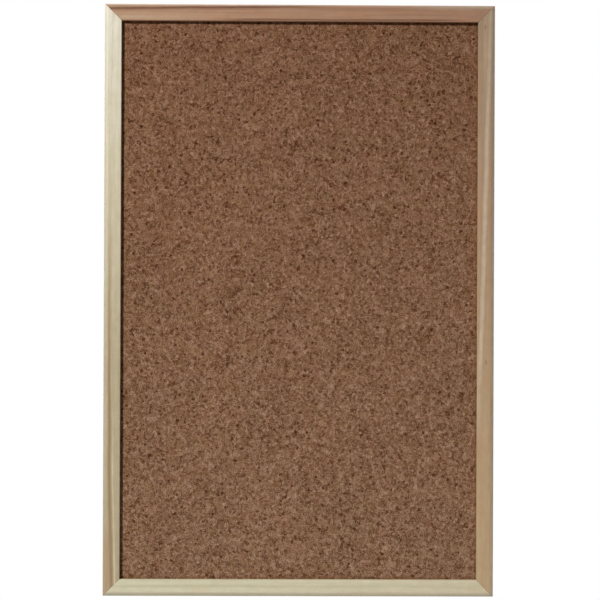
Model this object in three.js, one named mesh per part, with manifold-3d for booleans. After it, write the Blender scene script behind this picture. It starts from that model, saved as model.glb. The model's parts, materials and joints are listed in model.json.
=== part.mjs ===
// Pin badge board: a cork sheet on a softboard core, held in the groove of a mitred pine frame,
// with two D-ring strap hangers screwed to the back of the side rails.
// Millimetres, +Z up, front towards -Y. The origin is the middle of the top rail's rear face,
// which lies against the wall.
import * as THREE from "three";
import { mergeVertices } from "three/addons/utils/BufferGeometryUtils.js";
import Module from "manifold-3d";

const wasm = await Module();
wasm.setup();

// Overall size of the framed board
const BOARD_WIDTH = 396;
const BOARD_HEIGHT = 600;

// Clearances
const SEAT_GAP = 0.3; // sheets, nails and screws in the places cut for them
const MITRE_GAP = 0.3; // across the joint between two rails
const SWING_GAP = 0.3; // a ring's bar in its strap's knuckle
const CUT_OVERRUN = 1; // how far a cut runs past the face that it opens

// Sheets of the panel, front to back
const CORK_THICKNESS = 2;
const CORE_THICKNESS = 6;
const PAPER_THICKNESS = 0.4;

// Section of the pine moulding
const RAIL_WIDTH = 17.5;
const FRONT_LIP = 4.7; // wood in front of the groove
const REAR_LIP = 3.4; // wood behind the groove
const GROOVE_DEPTH = 5.5;
const OUTER_ROUND = 5; // front outer edge
const SIGHT_ROUND = 0.6; // front inner edge
const REAR_EASE = 0.8; // flat on both rear edges
const ROUND_STEPS = 5;

// V-nails that close each mitre from behind
const NAIL_WING = 5;
const NAIL_SHEET = 0.5;
const NAIL_DEPTH = 9;
const NAIL_SINK = 0.2; // below the rear face
const NAIL_EDGE = 2.8; // from the frame's outer edges to the outer nail
const NAIL_PITCH = 3.6; // from the outer nail to the inner one

// Hanger straps
const HANGER_DROP = 60; // from the board's top edge to a ring's pivot
const STRAP_SHEET = 1;
const STRAP_WIDTH = 8;
const STRAP_REACH = 6.9; // from the screw's middle to the strap's rounded end
const SCREW_DROP = 8.6; // from the pivot to the screw's middle
const KNUCKLE_STEPS = 8;

// D-rings
const WIRE_DIAMETER = 2;
const RING_WIDTH = 12; // between the middles of the two legs
const RING_LENGTH = 22; // from the pivot to the middle of the wire at the bow
const RING_CORNER = 1.6; // bend radius at the middle of the wire
const RING_BUTT_GAP = 0.4; // between the wire's two ends, inside the knuckle
const RING_STEPS = 72;
const WIRE_STEPS = 5;

// Pan-head screws
const SCREW_DIAMETER = 3;
const SCREW_LENGTH = 11; // under the head
const SCREW_TIP = 2.4;
const SCREW_HEAD_DIAMETER = 5.4;
const SCREW_HEAD_RIM = 0.5; // straight side of the head
const SCREW_HEAD_CROWN = 1.2; // height of the dome above the rim
const SCREW_SIDES = 20;
const RECESS_WIDTH = 0.8;
const RECESS_SPAN = 3;
const RECESS_DEPTH = 1;

// Sizes that follow from the ones above
const GROOVE_WIDTH = CORK_THICKNESS + CORE_THICKNESS + PAPER_THICKNESS + 2 * SEAT_GAP;
const RAIL_DEPTH = FRONT_LIP + GROOVE_WIDTH + REAR_LIP;
const PANEL_INSET = RAIL_WIDTH - GROOVE_DEPTH + SEAT_GAP; // from the frame's outer edge
const PANEL_WIDTH = BOARD_WIDTH - 2 * PANEL_INSET;
const PANEL_HEIGHT = BOARD_HEIGHT - 2 * PANEL_INSET;
const TOP_EDGE = RAIL_WIDTH / 2;
const BOTTOM_EDGE = TOP_EDGE - BOARD_HEIGHT;
const MIDDLE = (TOP_EDGE + BOTTOM_EDGE) / 2;
const NAIL_EDGES = { outer: NAIL_EDGE, inner: NAIL_EDGE + NAIL_PITCH };
const STRAP_LENGTH = SCREW_DROP + STRAP_REACH;
const WIRE_RADIUS = WIRE_DIAMETER / 2;
const KNUCKLE_BORE = WIRE_RADIUS + SWING_GAP;
const KNUCKLE_RADIUS = KNUCKLE_BORE + STRAP_SHEET; // also the pivot's height off the rail
const SCREW_HOLE = SCREW_DIAMETER / 2 + SEAT_GAP;
const HANGER_X = BOARD_WIDTH / 2 - RAIL_WIDTH / 2;
const HANGER_Z = TOP_EDGE - HANGER_DROP;

// Finishes
const matte = (color, roughness) => new THREE.MeshStandardMaterial({ color, roughness });
const pine = (color) => matte(color, 0.55);
const zincSteel = () =>
  new THREE.MeshStandardMaterial({ color: 0xb9bcbe, roughness: 0.35, metalness: 1 });

// Cutting and joining of closed geometries
function solidOf(geometry) {
  const bare = geometry.clone();
  bare.deleteAttribute("normal");
  bare.deleteAttribute("uv");
  const merged = mergeVertices(bare);
  const mesh = new wasm.Mesh({
    numProp: 3,
    vertProperties: merged.getAttribute("position").array,
    triVerts: new Uint32Array(merged.getIndex().array),
  });
  return new wasm.Manifold(mesh);
}

function geometryOf(solid) {
  const mesh = solid.getMesh();
  const geometry = new THREE.BufferGeometry();
  geometry.setAttribute("position", new THREE.BufferAttribute(mesh.vertProperties, 3));
  geometry.setIndex(new THREE.BufferAttribute(mesh.triVerts, 1));
  geometry.computeVertexNormals();
  return geometry;
}

function cut(geometry, tools) {
  const body = solidOf(geometry);
  return geometryOf(tools.reduce((rest, tool) => rest.subtract(solidOf(tool)), body));
}

function addPiece(parent, name, geometry, material) {
  const mesh = new THREE.Mesh(geometry, material);
  mesh.name = name;
  parent.add(mesh);
  return mesh;
}

// Section of a rail: x runs from the outer edge to the sight edge, y from the rear to the front.
function railSection() {
  const grooveFloor = RAIL_WIDTH - GROOVE_DEPTH;
  const grooveFront = REAR_LIP + GROOVE_WIDTH;
  const section = new THREE.Shape();
  section.moveTo(REAR_EASE, 0);
  section.lineTo(RAIL_WIDTH - REAR_EASE, 0);
  section.lineTo(RAIL_WIDTH, REAR_EASE);
  section.lineTo(RAIL_WIDTH, REAR_LIP);
  section.lineTo(grooveFloor, REAR_LIP);
  section.lineTo(grooveFloor, grooveFront);
  section.lineTo(RAIL_WIDTH, grooveFront);
  section.absarc(RAIL_WIDTH - SIGHT_ROUND, RAIL_DEPTH - SIGHT_ROUND, SIGHT_ROUND, 0, Math.PI / 2);
  section.absarc(OUTER_ROUND, RAIL_DEPTH - OUTER_ROUND, OUTER_ROUND, Math.PI / 2, Math.PI);
  section.lineTo(0, REAR_EASE);
  return section;
}

// A rail lies along X, its outer edge up at Z 0 and its rear face at Y 0. Both ends are drawn in
// by the distance from the outer edge, which makes the mitres.
function mitredRail(length) {
  const halfGap = MITRE_GAP / Math.SQRT2; // half the joint, measured along the rail
  const geometry = new THREE.ExtrudeGeometry(railSection(), {
    depth: length,
    bevelEnabled: false,
    curveSegments: ROUND_STEPS,
  });
  const corner = geometry.getAttribute("position");
  for (let i = 0; i < corner.count; i += 1) {
    const inward = corner.getX(i);
    const end = corner.getZ(i) > length / 2 ? -1 : 1;
    corner.setXYZ(i, end * (length / 2 - inward - halfGap), -corner.getY(i), -inward);
  }
  return geometry;
}

// Slots for the V-nails' wings at both ends of a rail
function nailSlots(length) {
  const wing = NAIL_WING + 2 * SEAT_GAP + CUT_OVERRUN;
  const depth = NAIL_SINK + NAIL_DEPTH + SEAT_GAP + CUT_OVERRUN;
  const slots = [];
  for (const edge of Object.values(NAIL_EDGES)) {
    for (const end of [-1, 1]) {
      const slot = new THREE.BoxGeometry(wing, depth, NAIL_SHEET + 2 * SEAT_GAP);
      const farEnd = length / 2 - edge - NAIL_WING - SEAT_GAP;
      slot.translate(end * (farEnd + wing / 2), CUT_OVERRUN - depth / 2, -edge - NAIL_SHEET / 2);
      slots.push(slot);
    }
  }
  return slots;
}

// Blind hole for a hanger's screw, at a distance along the rail from its middle
function pilotHole(along) {
  const depth = SCREW_LENGTH - STRAP_SHEET + SEAT_GAP + CUT_OVERRUN;
  const hole = new THREE.CylinderGeometry(SCREW_HOLE, SCREW_HOLE, depth, SCREW_SIDES);
  return hole.translate(along, CUT_OVERRUN - depth / 2, -RAIL_WIDTH / 2);
}

// V-nail: two wings at a right angle, one along each rail, driven in from the rear face
function vNail(edge) {
  const outline = new THREE.Shape();
  outline.moveTo(0, 0);
  outline.lineTo(NAIL_WING, 0);
  outline.lineTo(NAIL_WING, NAIL_SHEET);
  outline.lineTo(NAIL_SHEET, NAIL_SHEET);
  outline.lineTo(NAIL_SHEET, NAIL_WING);
  outline.lineTo(0, NAIL_WING);
  const geometry = new THREE.ExtrudeGeometry(outline, { depth: NAIL_DEPTH, bevelEnabled: false });
  return geometry.rotateX(-Math.PI / 2).translate(edge, -NAIL_SINK - NAIL_DEPTH, -edge);
}

// Hanger strap in side view, x down from the pivot and y off the rail, with its knuckle
function strapSide() {
  const rejoin = Math.asin((STRAP_SHEET - KNUCKLE_RADIUS) / KNUCKLE_RADIUS);
  const side = new THREE.Shape();
  side.moveTo(STRAP_LENGTH, STRAP_SHEET);
  side.absarc(0, KNUCKLE_RADIUS, KNUCKLE_RADIUS, rejoin, (3 * Math.PI) / 2);
  side.lineTo(STRAP_LENGTH, 0);
  const bore = new THREE.Path();
  bore.absarc(0, KNUCKLE_RADIUS, KNUCKLE_BORE, 0, 2 * Math.PI);
  side.holes.push(bore);
  return side;
}

// Hanger strap in plan, x down from the pivot and y across it, with its screw hole
function strapPlan() {
  const halfWidth = STRAP_WIDTH / 2;
  const plan = new THREE.Shape();
  plan.moveTo(-KNUCKLE_RADIUS - CUT_OVERRUN, -halfWidth);
  plan.lineTo(STRAP_LENGTH - halfWidth, -halfWidth);
  plan.absarc(STRAP_LENGTH - halfWidth, 0, halfWidth, -Math.PI / 2, Math.PI / 2);
  plan.lineTo(-KNUCKLE_RADIUS - CUT_OVERRUN, halfWidth);
  const hole = new THREE.Path();
  hole.absarc(SCREW_DROP, 0, SCREW_HOLE, 0, 2 * Math.PI);
  plan.holes.push(hole);
  return plan;
}

// The strap is what its side view, drawn out across it, and its plan, drawn out off the rail, share.
function strap() {
  const breadth = STRAP_WIDTH + 2 * CUT_OVERRUN;
  const height = 2 * KNUCKLE_RADIUS + 2 * CUT_OVERRUN;
  const drawn = (shape, depth) =>
    new THREE.ExtrudeGeometry(shape, { depth, bevelEnabled: false, curveSegments: KNUCKLE_STEPS });
  const rolled = drawn(strapSide(), breadth).translate(0, 0, -breadth / 2);
  const trimmed = drawn(strapPlan(), height).rotateX(Math.PI / 2).translate(0, height - CUT_OVERRUN, 0);
  const both = solidOf(rolled).intersect(solidOf(trimmed));
  return geometryOf(both).rotateY(Math.PI / 2);
}

// Middle line of a ring's wire, hanging down from its bar in the XZ plane
class RingLine extends THREE.Curve {
  constructor() {
    super();
    const leg = RING_WIDTH / 2;
    const corner = leg - RING_CORNER;
    const bow = leg - RING_LENGTH;
    this.plan = new THREE.Path();
    this.plan.moveTo(RING_BUTT_GAP / 2, 0);
    this.plan.lineTo(corner, 0);
    this.plan.absarc(corner, -RING_CORNER, RING_CORNER, Math.PI / 2, 0, true);
    this.plan.lineTo(leg, bow);
    this.plan.absarc(0, bow, leg, 0, -Math.PI, true);
    this.plan.lineTo(-leg, -RING_CORNER);
    this.plan.absarc(-corner, -RING_CORNER, RING_CORNER, Math.PI, Math.PI / 2, true);
    this.plan.lineTo(-RING_BUTT_GAP / 2, 0);
  }

  getPoint(share) {
    const { x, y } = this.plan.getPoint(share);
    return new THREE.Vector3(x, 0, y);
  }
}

function dRing() {
  const wire = new THREE.Shape();
  wire.absarc(0, 0, WIRE_RADIUS, 0, 2 * Math.PI);
  return new THREE.ExtrudeGeometry(wire, {
    extrudePath: new RingLine(),
    steps: RING_STEPS,
    curveSegments: WIRE_STEPS,
  });
}

// Pan-head screw standing on Y, the underside of its head at Y 0, with a cross recess
function panHeadScrew() {
  const shank = SCREW_DIAMETER / 2;
  const head = SCREW_HEAD_DIAMETER / 2;
  const profile = new THREE.Path();
  profile.moveTo(0, -SCREW_LENGTH);
  profile.lineTo(shank, SCREW_TIP - SCREW_LENGTH);
  profile.lineTo(shank, 0);
  profile.lineTo(head, 0);
  profile.absellipse(0, SCREW_HEAD_RIM, head, SCREW_HEAD_CROWN, 0, Math.PI / 2);
  const turned = new THREE.LatheGeometry(profile.getPoints(ROUND_STEPS), SCREW_SIDES);
  const headTop = SCREW_HEAD_RIM + SCREW_HEAD_CROWN;
  const cutDepth = RECESS_DEPTH + CUT_OVERRUN;
  const cutMiddle = headTop - RECESS_DEPTH + cutDepth / 2;
  const flutes = [
    new THREE.BoxGeometry(RECESS_SPAN, cutDepth, RECESS_WIDTH).translate(0, cutMiddle, 0),
    new THREE.BoxGeometry(RECESS_WIDTH, cutDepth, RECESS_SPAN).translate(0, cutMiddle, 0),
  ];
  return cut(turned, flutes);
}

const board = new THREE.Group();

// Panel: three sheets face to face, standing in the frame's groove
const SHEETS = [
  { name: "backing_paper", thickness: PAPER_THICKNESS, material: matte(0xa98a62, 0.85) },
  { name: "softboard_core", thickness: CORE_THICKNESS, material: matte(0x8d7253, 0.95) },
  { name: "cork_sheet", thickness: CORK_THICKNESS, material: matte(0x7a5942, 0.9) },
];
let sheetRear = -REAR_LIP - SEAT_GAP;
for (const { name, thickness, material } of SHEETS) {
  const sheet = new THREE.BoxGeometry(PANEL_WIDTH, thickness, PANEL_HEIGHT);
  addPiece(board, name, sheet, material).position.set(0, sheetRear - thickness / 2, MIDDLE);
  sheetRear -= thickness;
}

// Frame: each rail is turned about Y until its outer edge faces its own side of the board.
// The side rails carry the hangers' screws.
const SIDE_SCREW = HANGER_Z - SCREW_DROP - MIDDLE; // above the middle of the side rails
const RAILS = [
  { name: "top_rail", turn: 0, at: [0, TOP_EDGE], color: 0xa9836a },
  { name: "right_rail", turn: 1, at: [BOARD_WIDTH / 2, MIDDLE], color: 0xab9370, screwAt: -SIDE_SCREW },
  { name: "bottom_rail", turn: 2, at: [0, BOTTOM_EDGE], color: 0xc5bb9f },
  { name: "left_rail", turn: 3, at: [-BOARD_WIDTH / 2, MIDDLE], color: 0xc4b492, screwAt: SIDE_SCREW },
];
for (const { name, turn, at, color, screwAt } of RAILS) {
  const length = turn % 2 === 0 ? BOARD_WIDTH : BOARD_HEIGHT;
  const pilotHoles = screwAt === undefined ? [] : [pilotHole(screwAt)];
  const rail = cut(mitredRail(length), [...nailSlots(length), ...pilotHoles]);
  const mesh = addPiece(board, name, rail, pine(color));
  mesh.position.set(at[0], 0, at[1]);
  mesh.rotation.y = (turn * Math.PI) / 2;
}

// V-nails, two in each corner
const CORNERS = [
  { name: "top_left", turn: 0, at: [-BOARD_WIDTH / 2, TOP_EDGE] },
  { name: "top_right", turn: 1, at: [BOARD_WIDTH / 2, TOP_EDGE] },
  { name: "bottom_right", turn: 2, at: [BOARD_WIDTH / 2, BOTTOM_EDGE] },
  { name: "bottom_left", turn: 3, at: [-BOARD_WIDTH / 2, BOTTOM_EDGE] },
];
for (const { name, turn, at } of CORNERS) {
  const corner = new THREE.Group();
  corner.position.set(at[0], 0, at[1]);
  corner.rotation.y = (turn * Math.PI) / 2;
  for (const [place, edge] of Object.entries(NAIL_EDGES)) {
    addPiece(corner, `v_nail_${name}_${place}`, vNail(edge), zincSteel());
  }
  board.add(corner);
}

// Hangers, their rings hanging straight down
for (const [side, direction] of [["left", -1], ["right", 1]]) {
  const hanger = new THREE.Group();
  hanger.position.set(direction * HANGER_X, 0, HANGER_Z);
  addPiece(hanger, `${side}_hanger_strap`, strap(), zincSteel());
  addPiece(hanger, `${side}_d_ring`, dRing(), zincSteel()).position.y = KNUCKLE_RADIUS;
  const screw = addPiece(hanger, `${side}_hanger_screw`, panHeadScrew(), zincSteel());
  screw.position.set(0, STRAP_SHEET, -SCREW_DROP);
  board.add(hanger);
}

export default board;
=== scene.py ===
"""Looks of the pin badge board: granular cork, bare pine, kraft paper and zinc-plated steel.

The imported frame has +Z up, the cork facing -Y and the wall at Y 0. Lengths are in metres, apart from
those that a comment gives in millimetres.
"""

import json
import math

import bmesh
import bpy
import numpy as np
from mathutils import Euler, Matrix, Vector, noise
from mathutils.geometry import delaunay_2d_cdt


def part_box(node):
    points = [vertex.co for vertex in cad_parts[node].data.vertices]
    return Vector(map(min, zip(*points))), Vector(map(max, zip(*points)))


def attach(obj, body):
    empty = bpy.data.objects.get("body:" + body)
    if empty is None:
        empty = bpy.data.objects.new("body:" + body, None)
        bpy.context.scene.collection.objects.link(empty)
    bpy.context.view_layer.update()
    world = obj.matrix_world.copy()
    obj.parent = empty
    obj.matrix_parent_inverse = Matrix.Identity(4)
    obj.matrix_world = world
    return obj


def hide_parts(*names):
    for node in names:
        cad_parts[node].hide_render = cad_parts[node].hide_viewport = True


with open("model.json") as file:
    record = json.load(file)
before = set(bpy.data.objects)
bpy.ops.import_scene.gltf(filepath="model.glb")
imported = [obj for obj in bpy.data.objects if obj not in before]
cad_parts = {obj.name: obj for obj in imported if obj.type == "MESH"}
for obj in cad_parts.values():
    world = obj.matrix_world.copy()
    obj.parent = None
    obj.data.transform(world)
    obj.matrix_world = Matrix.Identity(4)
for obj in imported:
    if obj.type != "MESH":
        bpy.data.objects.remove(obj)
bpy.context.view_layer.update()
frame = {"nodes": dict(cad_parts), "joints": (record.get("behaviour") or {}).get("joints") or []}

MM = 0.001

# Places and sizes read from the frame
TOP_LOW, TOP_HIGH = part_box("top_rail")
CORK_LOW, CORK_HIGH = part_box("cork_sheet")
PAPER_LOW, PAPER_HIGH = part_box("backing_paper")
BOARD_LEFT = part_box("left_rail")[0].x
BOARD_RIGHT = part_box("right_rail")[1].x
BOARD_TOP = TOP_HIGH.z
BOARD_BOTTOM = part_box("bottom_rail")[0].z
BOARD_WIDTH = BOARD_RIGHT - BOARD_LEFT
BOARD_HEIGHT = BOARD_TOP - BOARD_BOTTOM
CENTRE_Z = (BOARD_TOP + BOARD_BOTTOM) / 2
RAIL_WIDTH = TOP_HIGH.z - TOP_LOW.z
SIGHT_WIDTH = BOARD_WIDTH - 2 * RAIL_WIDTH  # of the cork that shows between the rails
SIGHT_HEIGHT = BOARD_HEIGHT - 2 * RAIL_WIDTH

# Values of a noise: most of them lie in the first range, and nearly all in the second
NOISE_RANGE = (0.3, 0.7)
WIDE_RANGE = (0.25, 0.75)


def srgb(red, green, blue):
    """A colour given as 0 to 255 on screen, as the linear values that shaders take."""
    shares = [value / 255 for value in (red, green, blue)]
    linear = [s / 12.92 if s <= 0.04045 else ((s + 0.055) / 1.055) ** 2.4 for s in shares]
    return (*linear, 1.0)


class Shader:
    """A node material with one Principled surface, and short ways to add the nodes that feed it."""

    def __init__(self, name):
        self.material = bpy.data.materials.new(name)
        self.material.use_nodes = True
        self.tree = self.material.node_tree
        self.surface = self.tree.nodes["Principled BSDF"]

    def feed(self, socket, value):
        if isinstance(value, bpy.types.NodeSocket):
            self.tree.links.new(value, socket)
        else:
            socket.default_value = value

    def node(self, kind, inputs=None, **settings):
        node = self.tree.nodes.new("ShaderNode" + kind)
        for name, value in settings.items():
            setattr(node, name, value)
        for key, value in (inputs or {}).items():
            self.feed(node.inputs[key], value)
        return node

    def set_surface(self, inputs):
        for name, value in inputs.items():
            self.feed(self.surface.inputs[name], value)

    def math(self, operation, *values):
        return self.node("Math", dict(enumerate(values)), operation=operation).outputs[0]

    def vector_math(self, operation, *vectors):
        return self.node("VectorMath", dict(enumerate(vectors)), operation=operation).outputs

    def length(self, vector):
        return self.vector_math("LENGTH", vector)["Value"]

    def joined(self, x, y, z):
        return self.node("CombineXYZ", {0: x, 1: y, 2: z}).outputs[0]

    def parts(self, vector):
        return self.node("SeparateXYZ", {0: vector}).outputs

    def place(self):
        """Where a point is in its object, in metres."""
        return self.node("TexCoord").outputs["Object"]

    def attribute(self, name):
        return self.node("Attribute", attribute_name=name).outputs["Vector"]

    def noise(self, vector, scale=1.0, detail=2.0, roughness=0.5):
        """Noise with scale as its cells per unit of length: one number, or one for each axis."""
        if isinstance(scale, tuple):
            vector = self.vector_math("MULTIPLY", vector, scale)[0]
            scale = 1.0
        inputs = {"Vector": vector, "Scale": scale, "Detail": detail, "Roughness": roughness}
        return self.node("TexNoise", inputs).outputs["Fac"]

    def line(self, value, low, high, to_low=0.0, to_high=1.0, interpolation="LINEAR"):
        """A straight change from to_low to to_high as value goes from low to high."""
        inputs = {"Value": value, "From Min": low, "From Max": high, "To Min": to_low, "To Max": to_high}
        return self.node("MapRange", inputs, interpolation_type=interpolation).outputs[0]

    def step(self, value, low, high, to_low=0.0, to_high=1.0):
        """A smooth change from to_low to to_high as value goes from low to high."""
        return self.line(value, low, high, to_low, to_high, "SMOOTHSTEP")

    def mix(self, share, first, second, blend_type="MIX"):
        inputs = {0: share, 6: first, 7: second}
        return self.node("Mix", inputs, data_type="RGBA", blend_type=blend_type).outputs[2]

    def dimmed(self, colour, level):
        return self.mix(1.0, colour, self.joined(level, level, level), "MULTIPLY")

    def ramp(self, value, stops):
        node = self.node("ValToRGB", {"Fac": value})
        elements = node.color_ramp.elements
        while len(elements) < len(stops):
            elements.new(0.5)
        for element, (place, colour) in zip(elements, stops):
            element.position = place
            element.color = colour
        return node.outputs["Color"]

    def bump(self, height, distance):
        inputs = {"Height": height, "Distance": distance, "Strength": 1.0}
        self.set_surface({"Normal": self.node("Bump", inputs).outputs[0]})


def mesh_object(name, points, faces, material, sharp_deg=None):
    """A mesh piece; smooth all over, or smooth except across edges sharper than sharp_deg."""
    mesh = bpy.data.meshes.new(name)
    mesh.from_pydata([tuple(p) for p in points], [], [list(map(int, f)) for f in faces])
    mesh.validate()
    mesh.materials.append(material)
    mesh.shade_smooth()
    if sharp_deg is not None:
        mesh.set_sharp_from_angle(angle=math.radians(sharp_deg))
    piece = bpy.data.objects.new(name, mesh)
    bpy.context.scene.collection.objects.link(piece)
    return piece


def stand_in(piece, body, node):
    """Puts a piece on a body in place of a CAD node, and hides the node."""
    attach(piece, body)
    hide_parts(node)


def give_vectors(mesh, name, domain, vectors):
    attribute = mesh.attributes.new(name, "FLOAT_VECTOR", domain)
    attribute.data.foreach_set("vector", np.asarray(vectors, np.float32).ravel())


def unit(vector):
    return vector / np.linalg.norm(vector)


def around(count):
    """That many angles evenly round a circle."""
    return 2 * math.pi * np.arange(count) / count


def turned(quarters, x, z):
    """A point turned clockwise by quarter turns, as seen from the front."""
    for _ in range(quarters):
        x, z = z, -x
    return x, z


def rounded(corners, steps):
    """A closed outline of straight runs joined by arcs. Each corner is (x, y, radius)."""
    places = [np.array(corner[:2], float) for corner in corners]
    points = []
    for i, (here, corner) in enumerate(zip(places, corners)):
        radius = corner[2]
        if radius == 0:
            points.append(here)
            continue
        back = unit(places[i - 1] - here)
        ahead = unit(places[(i + 1) % len(places)] - here)
        half = math.acos(np.clip(back @ ahead, -1, 1)) / 2
        centre = here + unit(back + ahead) * radius / math.sin(half)
        start = here + back * radius / math.tan(half) - centre
        end = here + ahead * radius / math.tan(half) - centre
        sweep = math.pi - 2 * half
        for step in range(steps + 1):
            angle = sweep * step / steps
            share = math.sin(sweep - angle) / math.sin(sweep), math.sin(angle) / math.sin(sweep)
            points.append(centre + start * share[0] + end * share[1])
    return np.array(points)


def split_runs(outline, longest):
    """The closed outline with points added so that no run is longer than that."""
    points = []
    for here, after in zip(outline, np.roll(outline, -1, axis=0)):
        parts = max(1, math.ceil(np.linalg.norm(after - here) / longest))
        points += [here + (after - here) * k / parts for k in range(parts)]
    return np.array(points)


def outward(outline):
    """Unit normals of a closed outline that runs anticlockwise."""
    along = np.roll(outline, -1, axis=0) - np.roll(outline, 1, axis=0)
    normals = np.stack([along[:, 1], -along[:, 0]], axis=1)
    return normals / np.linalg.norm(normals, axis=1, keepdims=True)


def tube_faces(rings, count):
    """Quads between rings of count points each, with a flat cap on both ends."""
    faces = []
    for ring in range(rings - 1):
        for k in range(count):
            after = (k + 1) % count
            low, high = ring * count, (ring + 1) * count
            faces.append((low + k, low + after, high + after, high + k))
    faces.append(tuple(reversed(range(count))))
    faces.append(tuple(range((rings - 1) * count, rings * count)))
    return faces


# Shape of the cork
CORK_SEED = 11
GRANULE_SPACING = 2.75 * MM
GRANULE_JITTER = 0.42  # of the spacing
LATTICE_INSET = 0.6  # of the spacing, from the sheet's edge to the first granules inside it
EDGE_MARGIN = 0.2  # of the spacing; granules nearer to the edge go back to it
MARGIN_JITTER = 0.1  # of the margin, added afterwards
GRANULE_RISE = 0.05 * MM  # spread of the granules' heights
RISE_LIMIT = 2  # times the spread
JOINT_DEPTH = 0.06 * MM  # where three granules meet
CREVICE_DEPTH = 0.28 * MM  # along the open joints
CREVICE_LEAST = 0.35  # of that depth
CREVICE_SHARE = 0.13  # of the joints between two granules
TWIN_SHARE = 0.04  # of the joints, where both granules have one colour and read as a larger one
TONE_MIDDLE = 0.5
TONE_SPREAD = 0.125
BARK_SHARE = 0.04
SAME_GRANULE = 1e-9  # granules nearer than this count as one


def granule_places(rng, width, height):
    """Points around the border of a rectangle, then a jittered lattice inside it."""
    row_step = GRANULE_SPACING * math.sqrt(3) / 2
    inset = GRANULE_SPACING * LATTICE_INSET
    rows = np.arange(inset, height - inset, row_step)
    columns = np.arange(inset, width - inset, GRANULE_SPACING)
    x, z = np.meshgrid(columns, rows)
    x = x + GRANULE_SPACING / 2 * (np.arange(len(rows)) % 2)[:, None]
    inside = np.stack([x.ravel(), z.ravel()], axis=1)
    inside += rng.uniform(-GRANULE_JITTER, GRANULE_JITTER, inside.shape) * GRANULE_SPACING
    margin = EDGE_MARGIN * GRANULE_SPACING
    inside = np.clip(inside, margin, [width - margin, height - margin])
    inside += rng.uniform(-MARGIN_JITTER, MARGIN_JITTER, inside.shape) * margin
    across = np.linspace(0, width, round(width / GRANULE_SPACING), endpoint=False)
    up = np.linspace(0, height, round(height / GRANULE_SPACING), endpoint=False)
    border = np.concatenate([
        np.stack([across, np.zeros_like(across)], axis=1),
        np.stack([np.full_like(up, width), up], axis=1),
        np.stack([width - across, np.full_like(across, height)], axis=1),
        np.stack([np.zeros_like(up), height - up], axis=1),
    ])
    return np.concatenate([border, inside]), len(border)


def granule_cells(places):
    """Triangles between the granules' middles, the pairs of granules that share two of them, and
    the rims, which have only one."""
    found = delaunay_2d_cdt([Vector(p) for p in places], [], [], 0, SAME_GRANULE)[2]
    corners = np.array([list(face) for face in found])
    edges = np.concatenate([corners[:, [0, 1]], corners[:, [1, 2]], corners[:, [2, 0]]])
    owner = np.tile(np.arange(len(corners)), 3)
    key = edges.min(axis=1) * len(places) + edges.max(axis=1)
    order = np.argsort(key, kind="stable")
    same = np.flatnonzero(key[order][1:] == key[order][:-1])
    first, second = order[same], order[same + 1]
    single = np.setdiff1d(order, np.concatenate([first, second]))
    pairs = np.column_stack([edges[first], owner[first], owner[second]])
    rims = np.column_stack([edges[single], owner[single]])
    return corners, pairs, rims


def granule_heights(rng, granules, border, joints, pairs):
    """How far each granule's middle stands out, and how far each joint of three lies in."""
    limit = RISE_LIMIT * GRANULE_RISE
    rise = np.clip(rng.normal(0, GRANULE_RISE, granules), -limit, limit)
    rise[:border] = 0
    sink = rng.random(joints) * JOINT_DEPTH
    for a, b in pairs[rng.random(len(pairs)) < CREVICE_SHARE][:, 2:]:
        depth = rng.uniform(CREVICE_LEAST, 1) * CREVICE_DEPTH
        sink[a] = max(sink[a], depth)
        sink[b] = max(sink[b], depth)
    return rise, sink


def granule_marks(rng, granules, pairs):
    """Each granule's tone, its warmth and whether it is bark."""
    tone = np.clip(rng.normal(TONE_MIDDLE, TONE_SPREAD, granules), 0, 1)
    warmth = rng.random(granules)
    bark = rng.random(granules) < BARK_SHARE
    for a, b in pairs[rng.random(len(pairs)) < TWIN_SHARE][:, :2]:
        tone[b] = tone[a]
        warmth[b] = warmth[a]
    return np.column_stack([tone, warmth, bark])


def cork_relief(material):
    """The cork sheet with each granule as its own group of facets and crevices between some."""
    rng = np.random.default_rng(CORK_SEED)
    places, border = granule_places(rng, CORK_HIGH.x - CORK_LOW.x, CORK_HIGH.z - CORK_LOW.z)
    corners, pairs, rims = granule_cells(places)
    granules = len(places)
    rise, sink = granule_heights(rng, granules, border, len(corners), pairs)
    flat = np.concatenate([places, places[corners].mean(axis=1)])
    out = np.concatenate([rise, -sink])
    points = np.column_stack([CORK_LOW.x + flat[:, 0], CORK_LOW.y - out, CORK_LOW.z + flat[:, 1]])
    back = np.column_stack([points[:border, 0], np.full(border, CORK_HIGH.y), points[:border, 2]])
    front = np.concatenate([
        np.column_stack([pairs[:, 0], granules + pairs[:, 3], granules + pairs[:, 2]]),
        np.column_stack([pairs[:, 1], granules + pairs[:, 2], granules + pairs[:, 3]]),
        np.column_stack([rims[:, 0], rims[:, 1], granules + rims[:, 2]]),
    ])
    ring = np.arange(border)
    after = np.roll(ring, -1)
    rear = len(points)
    sides = np.column_stack([ring, rear + ring, rear + after, after])
    faces = front.tolist() + sides.tolist() + [(rear + ring[::-1]).tolist()]
    piece = mesh_object("cork_face", np.concatenate([points, back]), faces, material)

    marks = np.zeros((len(faces), 3))
    marks[:len(front)] = granule_marks(rng, granules, pairs)[front[:, 0]]
    give_vectors(piece.data, "granule", "FACE", marks)
    depths = np.zeros((rear + border, 3))
    depths[granules:rear, 0] = sink / CREVICE_DEPTH
    give_vectors(piece.data, "crevice", "POINT", depths)
    return piece


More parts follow.
